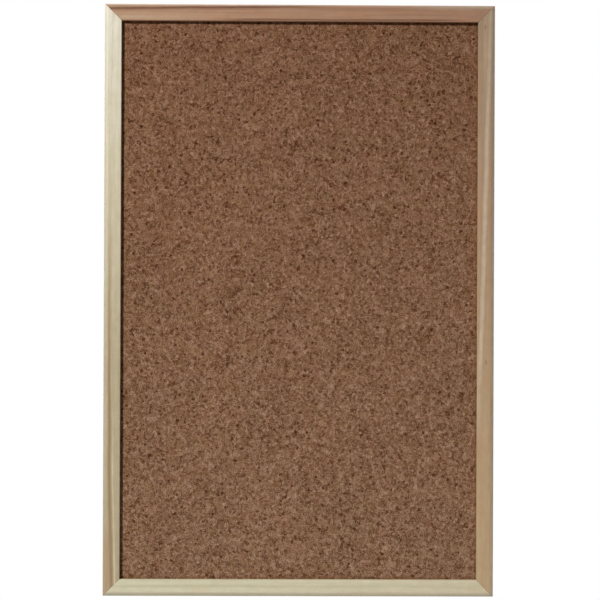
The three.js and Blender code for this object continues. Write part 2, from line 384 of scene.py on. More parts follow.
# Look of the cork. Scales are noise cells per metre, and ranges are where a noise takes effect.
CRUMB_SCALE = 900
FLECK_SCALE = 420
PATCH_SCALE = 95
BLOTCH_SCALE = 16
CRUMB_TONE = 0.57  # how far the crumbs change a granule's tone, either way
CORK_TONES = [(0.0, srgb(79, 43, 9)), (0.5, srgb(126, 92, 66)), (1.0, srgb(168, 136, 112))]
OLIVE, OLIVE_RANGE, OLIVE_SHARE = srgb(124, 96, 60), (0.5, 0.72), 0.28
RUDDY, RUDDY_RANGE, RUDDY_SHARE = srgb(134, 88, 70), (0.28, 0.5), 0.2
WARM, WARM_SHARE = srgb(140, 90, 64), 0.12
BARK, BARK_RANGE = srgb(72, 38, 14), (0.35, 0.6)
# painted shade: the crevices between granules darken towards this colour as they sink in
CREVICE_SHADE, CREVICE_SHADE_RANGE, CREVICE_SHADE_SHARE = srgb(62, 29, 6), (0.15, 1.0), 0.8
BLOTCH_LEVELS = (0.96, 1.04)
FRAME_SHADE_REACH = 3.5 * MM  # over which painted shade darkens the cork towards the frame
FRAME_SHADE_TINT = (0.86, 0.78, 0.64, 1)
HEAD_TINT = (1.04, 0.973, 0.958, 1)  # the cork is warmer at the head and greyer at the foot
FOOT_TINT = (0.985, 1.03, 1.072, 1)
CORK_ROUGHNESS = 0.92
CORK_SPECULAR = 0.12
CORK_BUMP = 0.14 * MM


def cork_material():
    shader = Shader("pressed_cork")
    tone, warmth, bark = shader.parts(shader.attribute("granule"))
    crevice = shader.parts(shader.attribute("crevice"))[0]
    place = shader.place()
    crumbs = shader.noise(place, CRUMB_SCALE, detail=3, roughness=0.7)
    fleck = shader.noise(place, FLECK_SCALE, detail=2, roughness=0.6)
    patch = shader.noise(place, PATCH_SCALE, detail=2, roughness=0.6)
    blotch = shader.noise(place, BLOTCH_SCALE, detail=2, roughness=0.5)

    level = shader.math("ADD", tone, shader.line(crumbs, *NOISE_RANGE, -CRUMB_TONE, CRUMB_TONE))
    colour = shader.ramp(level, CORK_TONES)
    colour = shader.mix(shader.step(patch, *OLIVE_RANGE, 0.0, OLIVE_SHARE), colour, OLIVE)
    colour = shader.mix(shader.step(patch, *RUDDY_RANGE, RUDDY_SHARE, 0.0), colour, RUDDY)
    colour = shader.mix(shader.line(warmth, 0, 1, 0, WARM_SHARE), colour, WARM)
    colour = shader.mix(shader.math("MULTIPLY", bark, shader.step(fleck, *BARK_RANGE)), colour, BARK)
    # painted shade in the crevices, darker where they sink deeper
    colour = shader.mix(shader.line(crevice, *CREVICE_SHADE_RANGE, 0.0, CREVICE_SHADE_SHARE), colour, CREVICE_SHADE)
    colour = shader.dimmed(colour, shader.line(blotch, *NOISE_RANGE, *BLOTCH_LEVELS))

    x, _, z = shader.parts(place)
    from_side = shader.math("SUBTRACT", SIGHT_WIDTH / 2, shader.math("ABSOLUTE", x))
    from_middle = shader.math("ABSOLUTE", shader.math("SUBTRACT", z, CENTRE_Z))
    from_end = shader.math("SUBTRACT", SIGHT_HEIGHT / 2, from_middle)
    # painted shade: the cork darkens and browns within a few millimetres of the rails
    frame_shade = shader.step(shader.math("MINIMUM", from_side, from_end), 0.0, FRAME_SHADE_REACH, 1.0, 0.0)
    colour = shader.mix(frame_shade, colour, FRAME_SHADE_TINT, "MULTIPLY")
    tint = shader.mix(shader.line(z, BOARD_BOTTOM, BOARD_TOP), FOOT_TINT, HEAD_TINT)
    colour = shader.mix(1.0, colour, tint, "MULTIPLY")
    shader.set_surface({
        "Base Color": colour, "Roughness": CORK_ROUGHNESS, "Specular IOR Level": CORK_SPECULAR})
    shader.bump(shader.math("ADD", crumbs, fleck), CORK_BUMP)
    return shader.material


def add_cork():
    stand_in(cork_relief(cork_material()), "board", "cork_sheet")


# Shape of the rails
OUTER_ROUND = 5 * MM
SIGHT_ROUND = 0.6 * MM
REAR_ROUND = 1.1 * MM
LIP_ROUND = 0.25 * MM
ROUND_STEPS = 9
SEAT_GAP = 0.3 * MM  # between the groove and the sheets in it
GROOVE_FLOOR = CORK_LOW.x - SEAT_GAP - BOARD_LEFT  # from the frame's outer edge
GROOVE_FRONT = CORK_LOW.y - SEAT_GAP
GROOVE_REAR = PAPER_HIGH.y + SEAT_GAP
MITRE_GAP = 0.05 * MM
ARRIS = 0.22 * MM  # the broken edge at both sides of a mitre
STATION_STEP = 6 * MM
OUTLINE_STEP = 2.5 * MM
WAVE_HEIGHT = 0.05 * MM
WAVE_LENGTH = 45 * MM
WAVE_BREADTH = 9 * MM
WAVE_FADE = 8  # the waves die out over the last eighth of a rail
PINE_SHARP_DEG = 28


def rail_outline():
    """Section of the moulding: x from the outer edge to the sight edge, y forward from the rear."""
    front, rear = -TOP_LOW.y, -TOP_HIGH.y
    corners = [
        (0, rear, REAR_ROUND),
        (RAIL_WIDTH, rear, REAR_ROUND),
        (RAIL_WIDTH, -GROOVE_REAR, LIP_ROUND),
        (GROOVE_FLOOR, -GROOVE_REAR, 0),
        (GROOVE_FLOOR, -GROOVE_FRONT, 0),
        (RAIL_WIDTH, -GROOVE_FRONT, LIP_ROUND),
        (RAIL_WIDTH, front, SIGHT_ROUND),
        (0, front, OUTER_ROUND),
    ]
    return split_runs(rounded(corners, ROUND_STEPS), OUTLINE_STEP)


def rail(name, quarters, edge, length, seed, material):
    """One mitred rail, lofted along its length with a slight hand-planed unevenness. It is made as
    the top rail and turned about the middle of its outer edge."""
    outline = rail_outline()
    normals = outward(outline)
    inset = outline - normals * ARRIS
    stations = np.linspace(1, 0, round(length / STATION_STEP) + 1)
    rings = [(inset, 1.0, 0.0)] + [(outline, t, ARRIS) for t in stations] + [(inset, 0.0, 0.0)]
    points, grain = [], []
    for section, share, drawn_in in rings:
        fade = min(1.0, WAVE_FADE * min(share, 1 - share))
        for (across, forward), normal in zip(section, normals):
            reach = length / 2 - across - MITRE_GAP - drawn_in
            along = (2 * share - 1) * reach
            spot = Vector((along / WAVE_LENGTH, across / WAVE_BREADTH, forward / WAVE_BREADTH + seed))
            wave = noise.noise(spot) * WAVE_HEIGHT * fade - WAVE_HEIGHT
            side, front = across + wave * normal[0], forward + wave * normal[1]
            x, z = turned(quarters, along, -side)
            points.append((edge[0] + x, -front, edge[1] + z))
            run = along if quarters < 2 else -along
            grain.append((run / MM + length / MM / 2, across / MM, forward / MM))
    piece = mesh_object(name, points, tube_faces(len(rings), len(outline)), material, PINE_SHARP_DEG)
    give_vectors(piece.data, "grain", "POINT", grain)
    return piece


# Look of the pine, in millimetres. Scales are noise cells along, across and through a rail.
SWAY_SCALE = (0.006, 0.03, 1)
RIPPLE_SCALE = (0.028, 0.06, 1)
SHOWN_SCALE = (0.011, 0.3, 0.3)
FIBRE_SCALE = (0.05, 2.4, 2.4)
SILK_SCALE = (0.012, 0.5, 0.5)
CURL_SCALE = (0.11, 0.16, 0.16)
FLUSH_SCALE = (0.03, 0.14, 0.14)
SEED_SHIFT = 40  # through the noises, for each unit of a rail's seed
LATE_RISE = (0.35, 0.9)  # part of a year's ring over which the late wood darkens
LATE_END = (0.94, 1.0)
YEAR_LEVELS = (0.2, 1.0)  # of the late wood in the weakest and the strongest year
SHOWN_RANGE = (0.38, 0.68)
FLUSH_RANGE = (0.42, 0.68)
BAND_SWAY = 0.5
BAND_RIPPLE = 0.45
BAND_CORE = 0.2  # share of a band's half width that has its full colour
BAND_LEVELS = (0.75, 1.0)
KNOT_COLOUR = srgb(112, 80, 54)
KNOT_RANGE = (0.2, 1.3)  # of a knot's half sizes, over which it fades out
KNOT_SHARE = 0.5
FIBRE_LEVELS = (0.92, 1.08)
SILK_LEVELS = (-0.05, 0.05)  # and of the curl
PINE_ROUGHNESS = (0.52, 0.7)
ROUGHNESS_RANGE = (0.2, 0.8)
PINE_SPECULAR = 0.3
PINE_BUMP = 0.06 * MM  # in metres
LATE_BUMP = 0.6  # of the late wood beside the fibre
BEYOND = 900  # further along than any rail goes


class PineShader(Shader):
    """Bare pine. The mesh's grain attribute runs along the rail from its left or top end, across it
    from the outer edge and forward from the rear, in millimetres."""

    def __init__(self, name, look):
        super().__init__(name)
        self.look = look
        grain = self.attribute("grain")
        self.along, self.across, self.forward = self.parts(grain)
        self.seeded = self.vector_math("ADD", grain, (0, 0, SEED_SHIFT * look["seed"]))[0]
        self.sway = self.line(self.noise(self.seeded, SWAY_SCALE), *WIDE_RANGE, -1, 1)
        self.curl = self.noise(self.seeded, CURL_SCALE, detail=3, roughness=0.6)

    def late_wood(self):
        """How much of the year rings' dark late wood shows at a point."""
        swayed = self.math("MULTIPLY_ADD", self.sway, self.look["wander"], self.across)
        leaning = self.math("MULTIPLY_ADD", self.along, -self.look["lean"], swayed)
        x = self.math("SUBTRACT", leaning, self.look["pith"][0])
        y = self.math("SUBTRACT", self.forward, self.look["pith"][1])
        ring = self.math("DIVIDE", self.length(self.joined(x, y, 0.0)), self.look["ring"])
        phase = self.math("FRACT", ring)
        year = self.node("TexWhiteNoise", {"W": self.math("FLOOR", ring)}, noise_dimensions="1D").outputs[0]
        late = self.math("MULTIPLY", self.step(phase, *LATE_RISE), self.step(phase, *LATE_END, 1.0, 0.0))
        yearly = self.math("MULTIPLY", late, self.line(year, 0, 1, *YEAR_LEVELS))
        shown = self.step(self.noise(self.seeded, SHOWN_SCALE), *SHOWN_RANGE)
        return self.math("MULTIPLY", yearly, shown)

    # bands of grain, and on the rounded edges painted highlight, sheen and shade
    def with_grain_and_light_bands(self, colour):
        ripple = self.line(self.noise(self.seeded, RIPPLE_SCALE), *WIDE_RANGE, -1, 1)
        held = self.math("MULTIPLY_ADD", self.sway, BAND_SWAY, self.across)
        held = self.math("MULTIPLY_ADD", ripple, BAND_RIPPLE, held)
        for band in self.look["streaks"]:
            middle = self.math("MULTIPLY_ADD", self.along, band["lean"], band["across"])
            past = self.math("MAXIMUM", self.math("SUBTRACT", self.along, band["bend_from"]), 0.0)
            middle = self.math("MULTIPLY_ADD", past, band["bend"], middle)
            beside = self.math("ABSOLUTE", self.math("SUBTRACT", held, middle))
            body = self.step(beside, band["half"] * BAND_CORE, band["half"], 1.0, 0.0)
            grown = self.step(self.along, *band["from_to"], *band["shares"])
            grown = self.math("MULTIPLY", grown, self.step(self.along, *band["ends"], 1.0, 0.0))
            uneven = self.math("MULTIPLY", grown, self.line(self.curl, *NOISE_RANGE, *BAND_LEVELS))
            colour = self.mix(self.math("MULTIPLY", body, uneven), colour, band["colour"])
        return colour

    def with_knots(self, colour):
        for spot in self.look.get("knots", []):
            x = self.math("DIVIDE", self.math("SUBTRACT", self.along, spot["along"]), spot["half_along"])
            y = self.math("DIVIDE", self.math("SUBTRACT", self.across, spot["across"]), spot["half_across"])
            apart = self.length(self.joined(x, y, 0.0))
            colour = self.mix(self.step(apart, *KNOT_RANGE, KNOT_SHARE, 0.0), colour, KNOT_COLOUR)
        return colour


def pine_material(name, look, length):
    shader = PineShader(name, look)
    late = shader.late_wood()
    fibre = shader.noise(shader.seeded, FIBRE_SCALE, detail=4, roughness=0.6)
    silk = shader.noise(shader.seeded, SILK_SCALE, detail=3, roughness=0.55)
    flush = shader.noise(shader.seeded, FLUSH_SCALE, detail=2, roughness=0.5)
    colour = shader.ramp(shader.math("DIVIDE", shader.along, length / MM), look["tones"])
    colour = shader.mix(shader.math("MULTIPLY", late, look["late_share"]), colour, look["late"])
    colour = shader.mix(shader.step(flush, *FLUSH_RANGE), colour, look["flush"], "MULTIPLY")
    colour = shader.with_knots(shader.with_grain_and_light_bands(colour))
    level = shader.line(fibre, *WIDE_RANGE, *FIBRE_LEVELS)
    level = shader.math("ADD", level, shader.line(silk, *NOISE_RANGE, *SILK_LEVELS))
    level = shader.math("ADD", level, shader.line(shader.curl, *NOISE_RANGE, *SILK_LEVELS))
    shader.set_surface({
        "Base Color": shader.dimmed(colour, level),
        "Roughness": shader.line(fibre, *ROUGHNESS_RANGE, *PINE_ROUGHNESS),
        "Specular IOR Level": PINE_SPECULAR,
    })
    shader.bump(shader.math("MULTIPLY_ADD", late, LATE_BUMP, fibre), PINE_BUMP)
    return shader.material


def grain_and_light_band(across, half, colour, from_to, shares, lean=0.0, ends=(BEYOND, BEYOND + 1),
           bend_from=BEYOND, bend=0.0):
    """A band along a rail: grain, or painted light on a rounded edge. It goes from the first share to the
    second within from_to and fades out within ends; its middle leans, and leans further after bend_from."""
    return {
        "across": across, "half": half, "colour": colour, "from_to": from_to, "shares": shares,
        "lean": lean, "ends": ends, "bend_from": bend_from, "bend": bend,
    }


def knot(along, across, half_along, half_across):
    return {"along": along, "across": across, "half_along": half_along, "half_across": half_across}


# How each rail's pine looks, with lengths in millimetres, as in the grain attribute
PINE_LOOKS = {
    "top": {
        "seed": 3.1, "pith": (34, -8), "ring": 5.2, "wander": 1.6, "lean": 0.006,
        "late": srgb(146, 102, 76), "late_share": 0.45, "flush": (1.0, 0.93, 0.88, 1),
        "tones": [(0.0, srgb(184, 148, 117)), (0.35, srgb(176, 137, 109)), (1.0, srgb(166, 127, 100))],
        "streaks": [
            grain_and_light_band(14.5, 3.2, srgb(196, 168, 140), (30, 110), (0.6, 0.0)),
            grain_and_light_band(4.8, 4.2, srgb(142, 102, 76), (170, 250), (0.0, 0.5), ends=(300, 360)),
            grain_and_light_band(6.6, 2.6, srgb(140, 94, 68), (60, 200), (0.6, 0.4), lean=-0.0135, ends=(190, 260)),
            grain_and_light_band(5.3, 1.9, srgb(84, 40, 14), (80, 180), (0.82, 0.8), lean=-0.0135, ends=(170, 240)),
            # painted highlight: a pale band along the outer rounded edge, where the light falls
            grain_and_light_band(0.2, 2.4, srgb(216, 194, 176), (0, 300), (0.95, 0.5)),
            # painted sheen: a pale grey band on the outer rounded edge towards the right end
            grain_and_light_band(2.4, 3.6, srgb(174, 158, 136), (280, 360), (0.0, 0.75)),
            # painted shade: a dark band along the sight edge, where the rounding turns from the light
            grain_and_light_band(16.1, 1.6, srgb(104, 66, 44), (105, 150), (0.0, 0.8), ends=(335, 375)),
        ],
    },
    "bottom": {
        "seed": 7.7, "pith": (-30, -16), "ring": 6.0, "wander": 1.2, "lean": 0.003,
        "late": srgb(184, 174, 142), "late_share": 0.5, "flush": (1.0, 0.955, 0.93, 1),
        "tones": [(0.0, srgb(196, 190, 161)), (0.5, srgb(195, 187, 158)), (1.0, srgb(191, 179, 151))],
        "streaks": [
            # painted shade: a darker grey band on the outer rounding
            grain_and_light_band(3.2, 2.2, srgb(174, 162, 142), (0, 300), (0.6, 0.6)),
            grain_and_light_band(11.0, 2.4, srgb(180, 175, 144), (0, 300), (0.6, 0.65)),
        ],
    },
    "left": {
        "seed": 5.3, "pith": (-26, 2), "ring": 5.6, "wander": 1.4, "lean": -0.003,
        "late": srgb(186, 166, 130), "late_share": 0.35, "flush": (0.94, 0.955, 0.9, 1),
        "tones": [
            (0.0, srgb(238, 230, 210)), (0.3, srgb(207, 195, 167)),
            (0.6, srgb(176, 161, 132)), (1.0, srgb(165, 150, 122)),
        ],
        "streaks": [
            # painted sheen: a grey band along the outer rounded edge
            grain_and_light_band(0.0, 2.6, srgb(186, 184, 178), (60, 300), (0.0, 0.4)),
            grain_and_light_band(6.4, 2.6, srgb(136, 106, 70), (90, 430), (0.0, 0.85), bend_from=450, bend=0.022),
            grain_and_light_band(3.6, 5.2, srgb(158, 130, 98), (505, 560), (0.0, 0.8)),
            grain_and_light_band(9.8, 1.2, srgb(206, 190, 158), (380, 470), (0.0, 0.6), bend_from=450, bend=0.022),
        ],
    },
    "right": {
        "seed": 9.4, "pith": (-24, -12), "ring": 6.4, "wander": 1.5, "lean": 0.02,
        "late": srgb(156, 122, 90), "late_share": 0.4, "flush": (1.0, 0.94, 0.88, 1),
        "tones": [(0.0, srgb(163, 139, 112)), (0.3, srgb(170, 141, 112)), (1.0, srgb(173, 148, 114))],
        "streaks": [
            grain_and_light_band(4.3, 3.2, srgb(196, 176, 152), (0, 90), (0.6, 0.85), lean=0.0278, ends=(330, 460)),
            # painted reflection: a pale grey band along the outer rounded edge
            grain_and_light_band(0.0, 3.8, srgb(192, 178, 160), (60, 280), (0.3, 0.85)),
            grain_and_light_band(9.6, 3.4, srgb(188, 156, 126), (50, 120), (0.7, 0.0)),
        ],
        "knots": [knot(22, 10.5, 3.0, 1.1), knot(362, 8.4, 2.8, 1.2)],
    },
}


def add_rails():
    edges = {
        "top": ((0, BOARD_TOP), BOARD_WIDTH),
        "right": ((BOARD_RIGHT, CENTRE_Z), BOARD_HEIGHT),
        "bottom": ((0, BOARD_BOTTOM), BOARD_WIDTH),
        "left": ((BOARD_LEFT, CENTRE_Z), BOARD_HEIGHT),
    }
    for quarters, (side, (edge, length)) in enumerate(edges.items()):
        node = side + "_rail"
        name = node + "_pine"
        look = PINE_LOOKS[side]
        piece = rail(name, quarters, edge, length, look["seed"], pine_material(name, look, length))
        stand_in(piece, "board", node)


# Backing paper and core. Scales are noise cells per metre.
COCKLE_HEIGHT = 0.22 * MM
COCKLE_LENGTH = 70 * MM
COCKLE_MARGIN = 30 * MM  # over which the paper settles flat at its edges
COCKLE_SEED = 4.0
PAPER_GRID = 6 * MM
PAPER_SHARP_DEG = 30
PULP_SCALE = (900, 900, 240)
PULP_RANGE = (0.52, 0.72)
PULP_SHARE = 0.45
PULP_COLOUR = srgb(146, 114, 78)
CLOUD_SCALE = 26
CLOUD_TONES = [(0.0, srgb(167, 135, 96)), (1.0, srgb(174, 142, 102))]
SPECK_SCALE = 1500
SPECK_RANGE = (0.68, 0.76)
SPECK_SHARE = 0.5
SPECK_COLOUR = srgb(112, 84, 56)
PAPER_ROUGHNESS = 0.82
PAPER_SPECULAR = 0.25
PAPER_BUMP = 0.05 * MM
CORE_SCALE = 700
CORE_TONES = [(0.3, srgb(112, 88, 62)), (0.7, srgb(158, 130, 98))]
CORE_ROUGHNESS = 0.95
CORE_BUMP = 0.2 * MM


def kraft_sheet(material):
    """The backing paper, slightly cockled between the rails."""
    columns = round((PAPER_HIGH.x - PAPER_LOW.x) / PAPER_GRID) + 1
    rows = round((PAPER_HIGH.z - PAPER_LOW.z) / PAPER_GRID) + 1
    points = []
    for z in np.linspace(PAPER_LOW.z, PAPER_HIGH.z, rows):
        for x in np.linspace(PAPER_LOW.x, PAPER_HIGH.x, columns):
            edge = min(x - PAPER_LOW.x, PAPER_HIGH.x - x, z - PAPER_LOW.z, PAPER_HIGH.z - z)
            wave = noise.noise(Vector((x / COCKLE_LENGTH, z / COCKLE_LENGTH, COCKLE_SEED)))
            points.append((x, PAPER_HIGH.y + wave * COCKLE_HEIGHT * min(1, edge / COCKLE_MARGIN), z))
    faces = []
    for row in range(rows - 1):
        for column in range(columns - 1):
            low = row * columns + column
            faces.append((low, low + columns, low + columns + 1, low + 1))
    low_edge = list(range(columns))
    right_edge = [row * columns + columns - 1 for row in range(1, rows)]
    high_edge = [(rows - 1) * columns + column for column in range(columns - 2, -1, -1)]
    left_edge = [row * columns for row in range(rows - 2, 0, -1)]
    rim = low_edge + right_edge + high_edge + left_edge
    front = len(points)
    points += [(points[k][0], PAPER_LOW.y, points[k][2]) for k in rim]
    for k, here in enumerate(rim):
        after = (k + 1) % len(rim)
        faces.append((here, rim[after], front + after, front + k))
    faces.append(tuple(front + k for k in range(len(rim))))
    return mesh_object("kraft_sheet", points, faces, material, PAPER_SHARP_DEG)


def kraft_material():
    shader = Shader("kraft_paper")
    place = shader.place()
    pulp = shader.noise(place, PULP_SCALE, detail=4, roughness=0.6)
    cloud = shader.noise(place, CLOUD_SCALE, detail=3, roughness=0.55)
    specks = shader.noise(place, SPECK_SCALE, detail=1)
    colour = shader.ramp(shader.line(cloud, *NOISE_RANGE), CLOUD_TONES)
    colour = shader.mix(shader.step(pulp, *PULP_RANGE, 0.0, PULP_SHARE), colour, PULP_COLOUR)
    colour = shader.mix(shader.step(specks, *SPECK_RANGE, 0.0, SPECK_SHARE), colour, SPECK_COLOUR)
    shader.set_surface({
        "Base Color": colour, "Roughness": PAPER_ROUGHNESS, "Specular IOR Level": PAPER_SPECULAR})
    shader.bump(pulp, PAPER_BUMP)
    return shader.material


def softboard_material():
    shader = Shader("softboard")
    fibre = shader.noise(shader.place(), CORE_SCALE, detail=4, roughness=0.7)
    shader.set_surface({"Base Color": shader.ramp(fibre, CORE_TONES), "Roughness": CORE_ROUGHNESS})
    shader.bump(fibre, CORE_BUMP)
    return shader.material


def add_back():
    stand_in(kraft_sheet(kraft_material()), "board", "backing_paper")
    core = frame["nodes"]["softboard_core"].data
    core.materials.clear()
    core.materials.append(softboard_material())


def in_mm(metres):
    """Millimetres to a thousandth, because the frame's boxes are in single precision."""
    return round(metres / MM, 3)


# Steel fittings in the frame
PIVOTS = {joint["child"]: Vector(joint["pos_m"]) for joint in frame["joints"]}
LEFT_PIVOT = PIVOTS["left_ring"]
STRAP_LOW, STRAP_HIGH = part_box("left_hanger_strap")
RING_LOW, RING_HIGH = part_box("left_d_ring")
SCREW_LOW, SCREW_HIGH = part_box("left_hanger_screw")
NAIL_LOW, NAIL_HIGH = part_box("v_nail_top_left_outer")
INNER_NAIL_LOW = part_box("v_nail_top_left_inner")[0]

# Steel fittings, in millimetres
SAME_PLACE = 0.001  # points nearer than this count as one
STEEL_SHARP_DEG = 35

NAIL_WING = in_mm(NAIL_HIGH.x - NAIL_LOW.x)
NAIL_EDGES = {  # from both of the frame's outer edges
    "outer": in_mm(NAIL_LOW.x - BOARD_LEFT),
    "inner": in_mm(INNER_NAIL_LOW.x - BOARD_LEFT),
}
NAIL_TIP = in_mm(NAIL_LOW.y)
NAIL_HEAD = 0.02  # just proud of the wood
NAIL_SHEET = 0.5
NAIL_ROUND = 0.12
NAIL_ROUND_STEPS = 4
NAIL_INSET = 0.7  # of the round, at the head and the tip
NAIL_BEVEL = 1  # length of the sharpened tip

PIVOT_HEIGHT = in_mm(LEFT_PIVOT.y)
STRAP_HALF = in_mm((STRAP_HIGH.x - STRAP_LOW.x) / 2)
STRAP_END = in_mm(LEFT_PIVOT.z - STRAP_LOW.z)  # from the pivot to the strap's rounded end
STRAP_SHEET = 1
STRAP_EASE = 0.16  # broken edges of the sheet
STRAP_EASE_MOST = 0.8  # of the half width, where the strap is narrow
STRAP_EASE_STEPS = 2
STRAP_END_START_DEG = 5  # round the end from its tip
STRAP_END_STATIONS = 14
STRAP_FLAT_STATIONS = 8
KNUCKLE_MIDDLE = 1.77  # radius at the middle of the rolled sheet
KNUCKLE_SWEEP_DEG = 296
KNUCKLE_STATIONS = 44

WIRE_RADIUS = in_mm(RING_HIGH.z - LEFT_PIVOT.z)
WIRE_SIDES = 20
WIRE_SHARP_DEG = 50
RING_HALF = in_mm((RING_HIGH.x - RING_LOW.x) / 2) - WIRE_RADIUS
RING_LENGTH = in_mm(LEFT_PIVOT.z - RING_LOW.z) - WIRE_RADIUS
RING_CORNER = 1.6
RING_BEND_STEPS = 16
BUTT_GAP = 0.4

SCREW_DROP = in_mm(LEFT_PIVOT.z - (SCREW_LOW.z + SCREW_HIGH.z) / 2)  # below the pivot
SCREW_LENGTH = STRAP_SHEET - in_mm(SCREW_LOW.y)  # below its head
SCREW_SIDES = 32
SCREW_HOLE = 1.8
SCREW_CORE = 1.05
SCREW_POINT = 0.06  # radius of the tip
POINT_FLARE = 0.4  # growth of the radius for each millimetre above the tip
THREAD_HEIGHT = 0.42
THREAD_PITCH = 1.2
THREAD_HALF = 0.22  # half the ridge's width, as a share of the pitch
THREAD_RUN_IN = 2.5  # over which the thread rises from the tip
THREAD_STEP = 0.2
THREAD_END = -1  # the thread stops below this height
NECK_START = -0.9
HEAD_RADIUS = in_mm((SCREW_HIGH.x - SCREW_LOW.x) / 2)
HEAD_EASE = 0.12
HEAD_RIM = 0.5
HEAD_CROWN = 1.2
HEAD_TOP = HEAD_RIM + HEAD_CROWN
CROWN_END_DEG = 87  # a small flat closes the crown
CROWN_RINGS = 11
RECESS_SPAN = 1.5
RECESS_HALF = 0.4
RECESS_DEPTH = 1
RECESS_FLOOR_SIZE = 0.55  # of the span
RECESS_MOUTH_SIZE = 1.15
HOLE_OVERRUN = 1  # how far a cutter stands out of what it cuts
RECESS_OVERRUN = 0.4

# Look of the steel. Scales are noise cells per metre.
NAIL_STEEL = (0.42, 0.43, 0.44, 1)
NAIL_ROUGHNESS = (0.38, 0.5)
ZINC = (0.47, 0.49, 0.51, 1)
ZINC_ROUGHNESS = (0.24, 0.4)
FILM_SCALE = 320
FILM_RANGE = (0.4, 0.7)
BRUSH_SCALE = (6000, 6000, 900)
TARNISH = 0.72
STEEL_BUMP = 0.015 * MM


def steel_material(name, colour, roughness):
    shader = Shader(name)
    place = shader.place()
    film = shader.noise(place, FILM_SCALE, detail=3, roughness=0.6)
    brush = shader.noise(place, BRUSH_SCALE, detail=2)
    tarnished = tuple(TARNISH * part for part in colour[:3]) + (1.0,)
    shader.set_surface({
        "Base Color": shader.mix(shader.step(film, *FILM_RANGE), colour, tarnished),
        "Metallic": 1.0,
        "Roughness": shader.line(film, *NOISE_RANGE, *roughness),
    })
    shader.bump(shader.math("ADD", brush, film), STEEL_BUMP)
    return shader.material


def carve(piece, cutter):
    """Cuts the cutter's shape out of a steel piece for good."""
    change = piece.modifiers.new("cut", "BOOLEAN")
    change.object = cutter
    change.solver = "EXACT"
    graph = bpy.context.evaluated_depsgraph_get()
    carved = bpy.data.meshes.new_from_object(piece.evaluated_get(graph))
    piece.modifiers.remove(change)
    clean = bmesh.new()
    clean.from_mesh(carved)
    bmesh.ops.remove_doubles(clean, verts=clean.verts, dist=SAME_PLACE * MM)
    clean.to_mesh(carved)
    clean.free()
    whole = piece.data
    piece.data = carved
    bpy.data.meshes.remove(whole)
    bpy.data.objects.remove(cutter)
    carved.shade_smooth()
    carved.set_sharp_from_angle(angle=math.radians(STEEL_SHARP_DEG))


def v_nail(name, quarters, corner, edge, material):
    """A V-shaped strip driven across the mitre from behind, its edges slightly rounded."""
    far = edge + NAIL_WING
    near = edge + NAIL_SHEET
    outline = rounded([
        (edge, -edge, 0),
        (edge, -far, NAIL_ROUND),
        (near, -far, NAIL_ROUND),
        (near, -near, 0),
        (far, -near, NAIL_ROUND),
        (far, -edge, NAIL_ROUND),
    ], NAIL_ROUND_STEPS)
    inset = outline - outward(outline) * NAIL_ROUND * NAIL_INSET
    rings = [
        (inset, NAIL_HEAD),
        (outline, NAIL_HEAD - NAIL_ROUND),
        (outline, NAIL_TIP + NAIL_BEVEL),
        (inset, NAIL_TIP),
    ]
    points = []
    for ring, y in rings:
        for x, z in [turned(quarters, *point) for point in ring * MM]:
            points.append((corner[0] + x, y * MM, corner[1] + z))
    return mesh_object(name, points, tube_faces(len(rings), len(outline)), material, STEEL_SHARP_DEG)


def strap_stations():
    """Middle line of the strap's sheet in side view, with its direction and half width there:
    (down from the pivot, off the rail, angle, half width)."""
    level = STRAP_SHEET / 2
    stations = []
    for turn in np.radians(np.linspace(STRAP_END_START_DEG, 90, STRAP_END_STATIONS)):
        reach = STRAP_END - STRAP_HALF + STRAP_HALF * math.cos(turn)
        stations.append((reach, level, 0.0, STRAP_HALF * math.sin(turn)))
    for reach in np.linspace(STRAP_END - STRAP_HALF, 0, STRAP_FLAT_STATIONS)[1:]:
        stations.append((reach, level, 0.0, STRAP_HALF))
    for turn in np.radians(np.linspace(0, KNUCKLE_SWEEP_DEG, KNUCKLE_STATIONS)[1:]):
        reach = -KNUCKLE_MIDDLE * math.sin(turn)
        height = PIVOT_HEIGHT - KNUCKLE_MIDDLE * math.cos(turn)
        stations.append((reach, height, turn, STRAP_HALF))
    return stations


def hanger_strap(name, pivot, material):
    """Sheet steel strap with a rounded end, a screw hole and a knuckle rolled round the ring's bar."""
    foot = Vector((pivot.x, 0, pivot.z))
    thick = STRAP_SHEET / 2
    stations = strap_stations()
    points = []
    for reach, height, turn, half in stations:
        ease = min(STRAP_EASE, STRAP_EASE_MOST * half)
        corners = [(-half, -thick, ease), (half, -thick, ease), (half, thick, ease), (-half, thick, ease)]
        for across, lift in rounded(corners, STRAP_EASE_STEPS):
            down = reach + lift * math.sin(turn)
            off = height + lift * math.cos(turn)
            points.append(foot + Vector((across, off, -down)) * MM)
    faces = tube_faces(len(stations), len(points) // len(stations))
    piece = mesh_object(name, points, faces, material, STEEL_SHARP_DEG)
    hole = []
    for height in (-HOLE_OVERRUN, STRAP_SHEET + HOLE_OVERRUN):
        for angle in around(SCREW_SIDES):
            spot = Vector((SCREW_HOLE * math.cos(angle), height, SCREW_HOLE * math.sin(angle) - SCREW_DROP))
            hole.append(foot + spot * MM)
    carve(piece, mesh_object("hole", hole, tube_faces(2, SCREW_SIDES), material))
    return piece


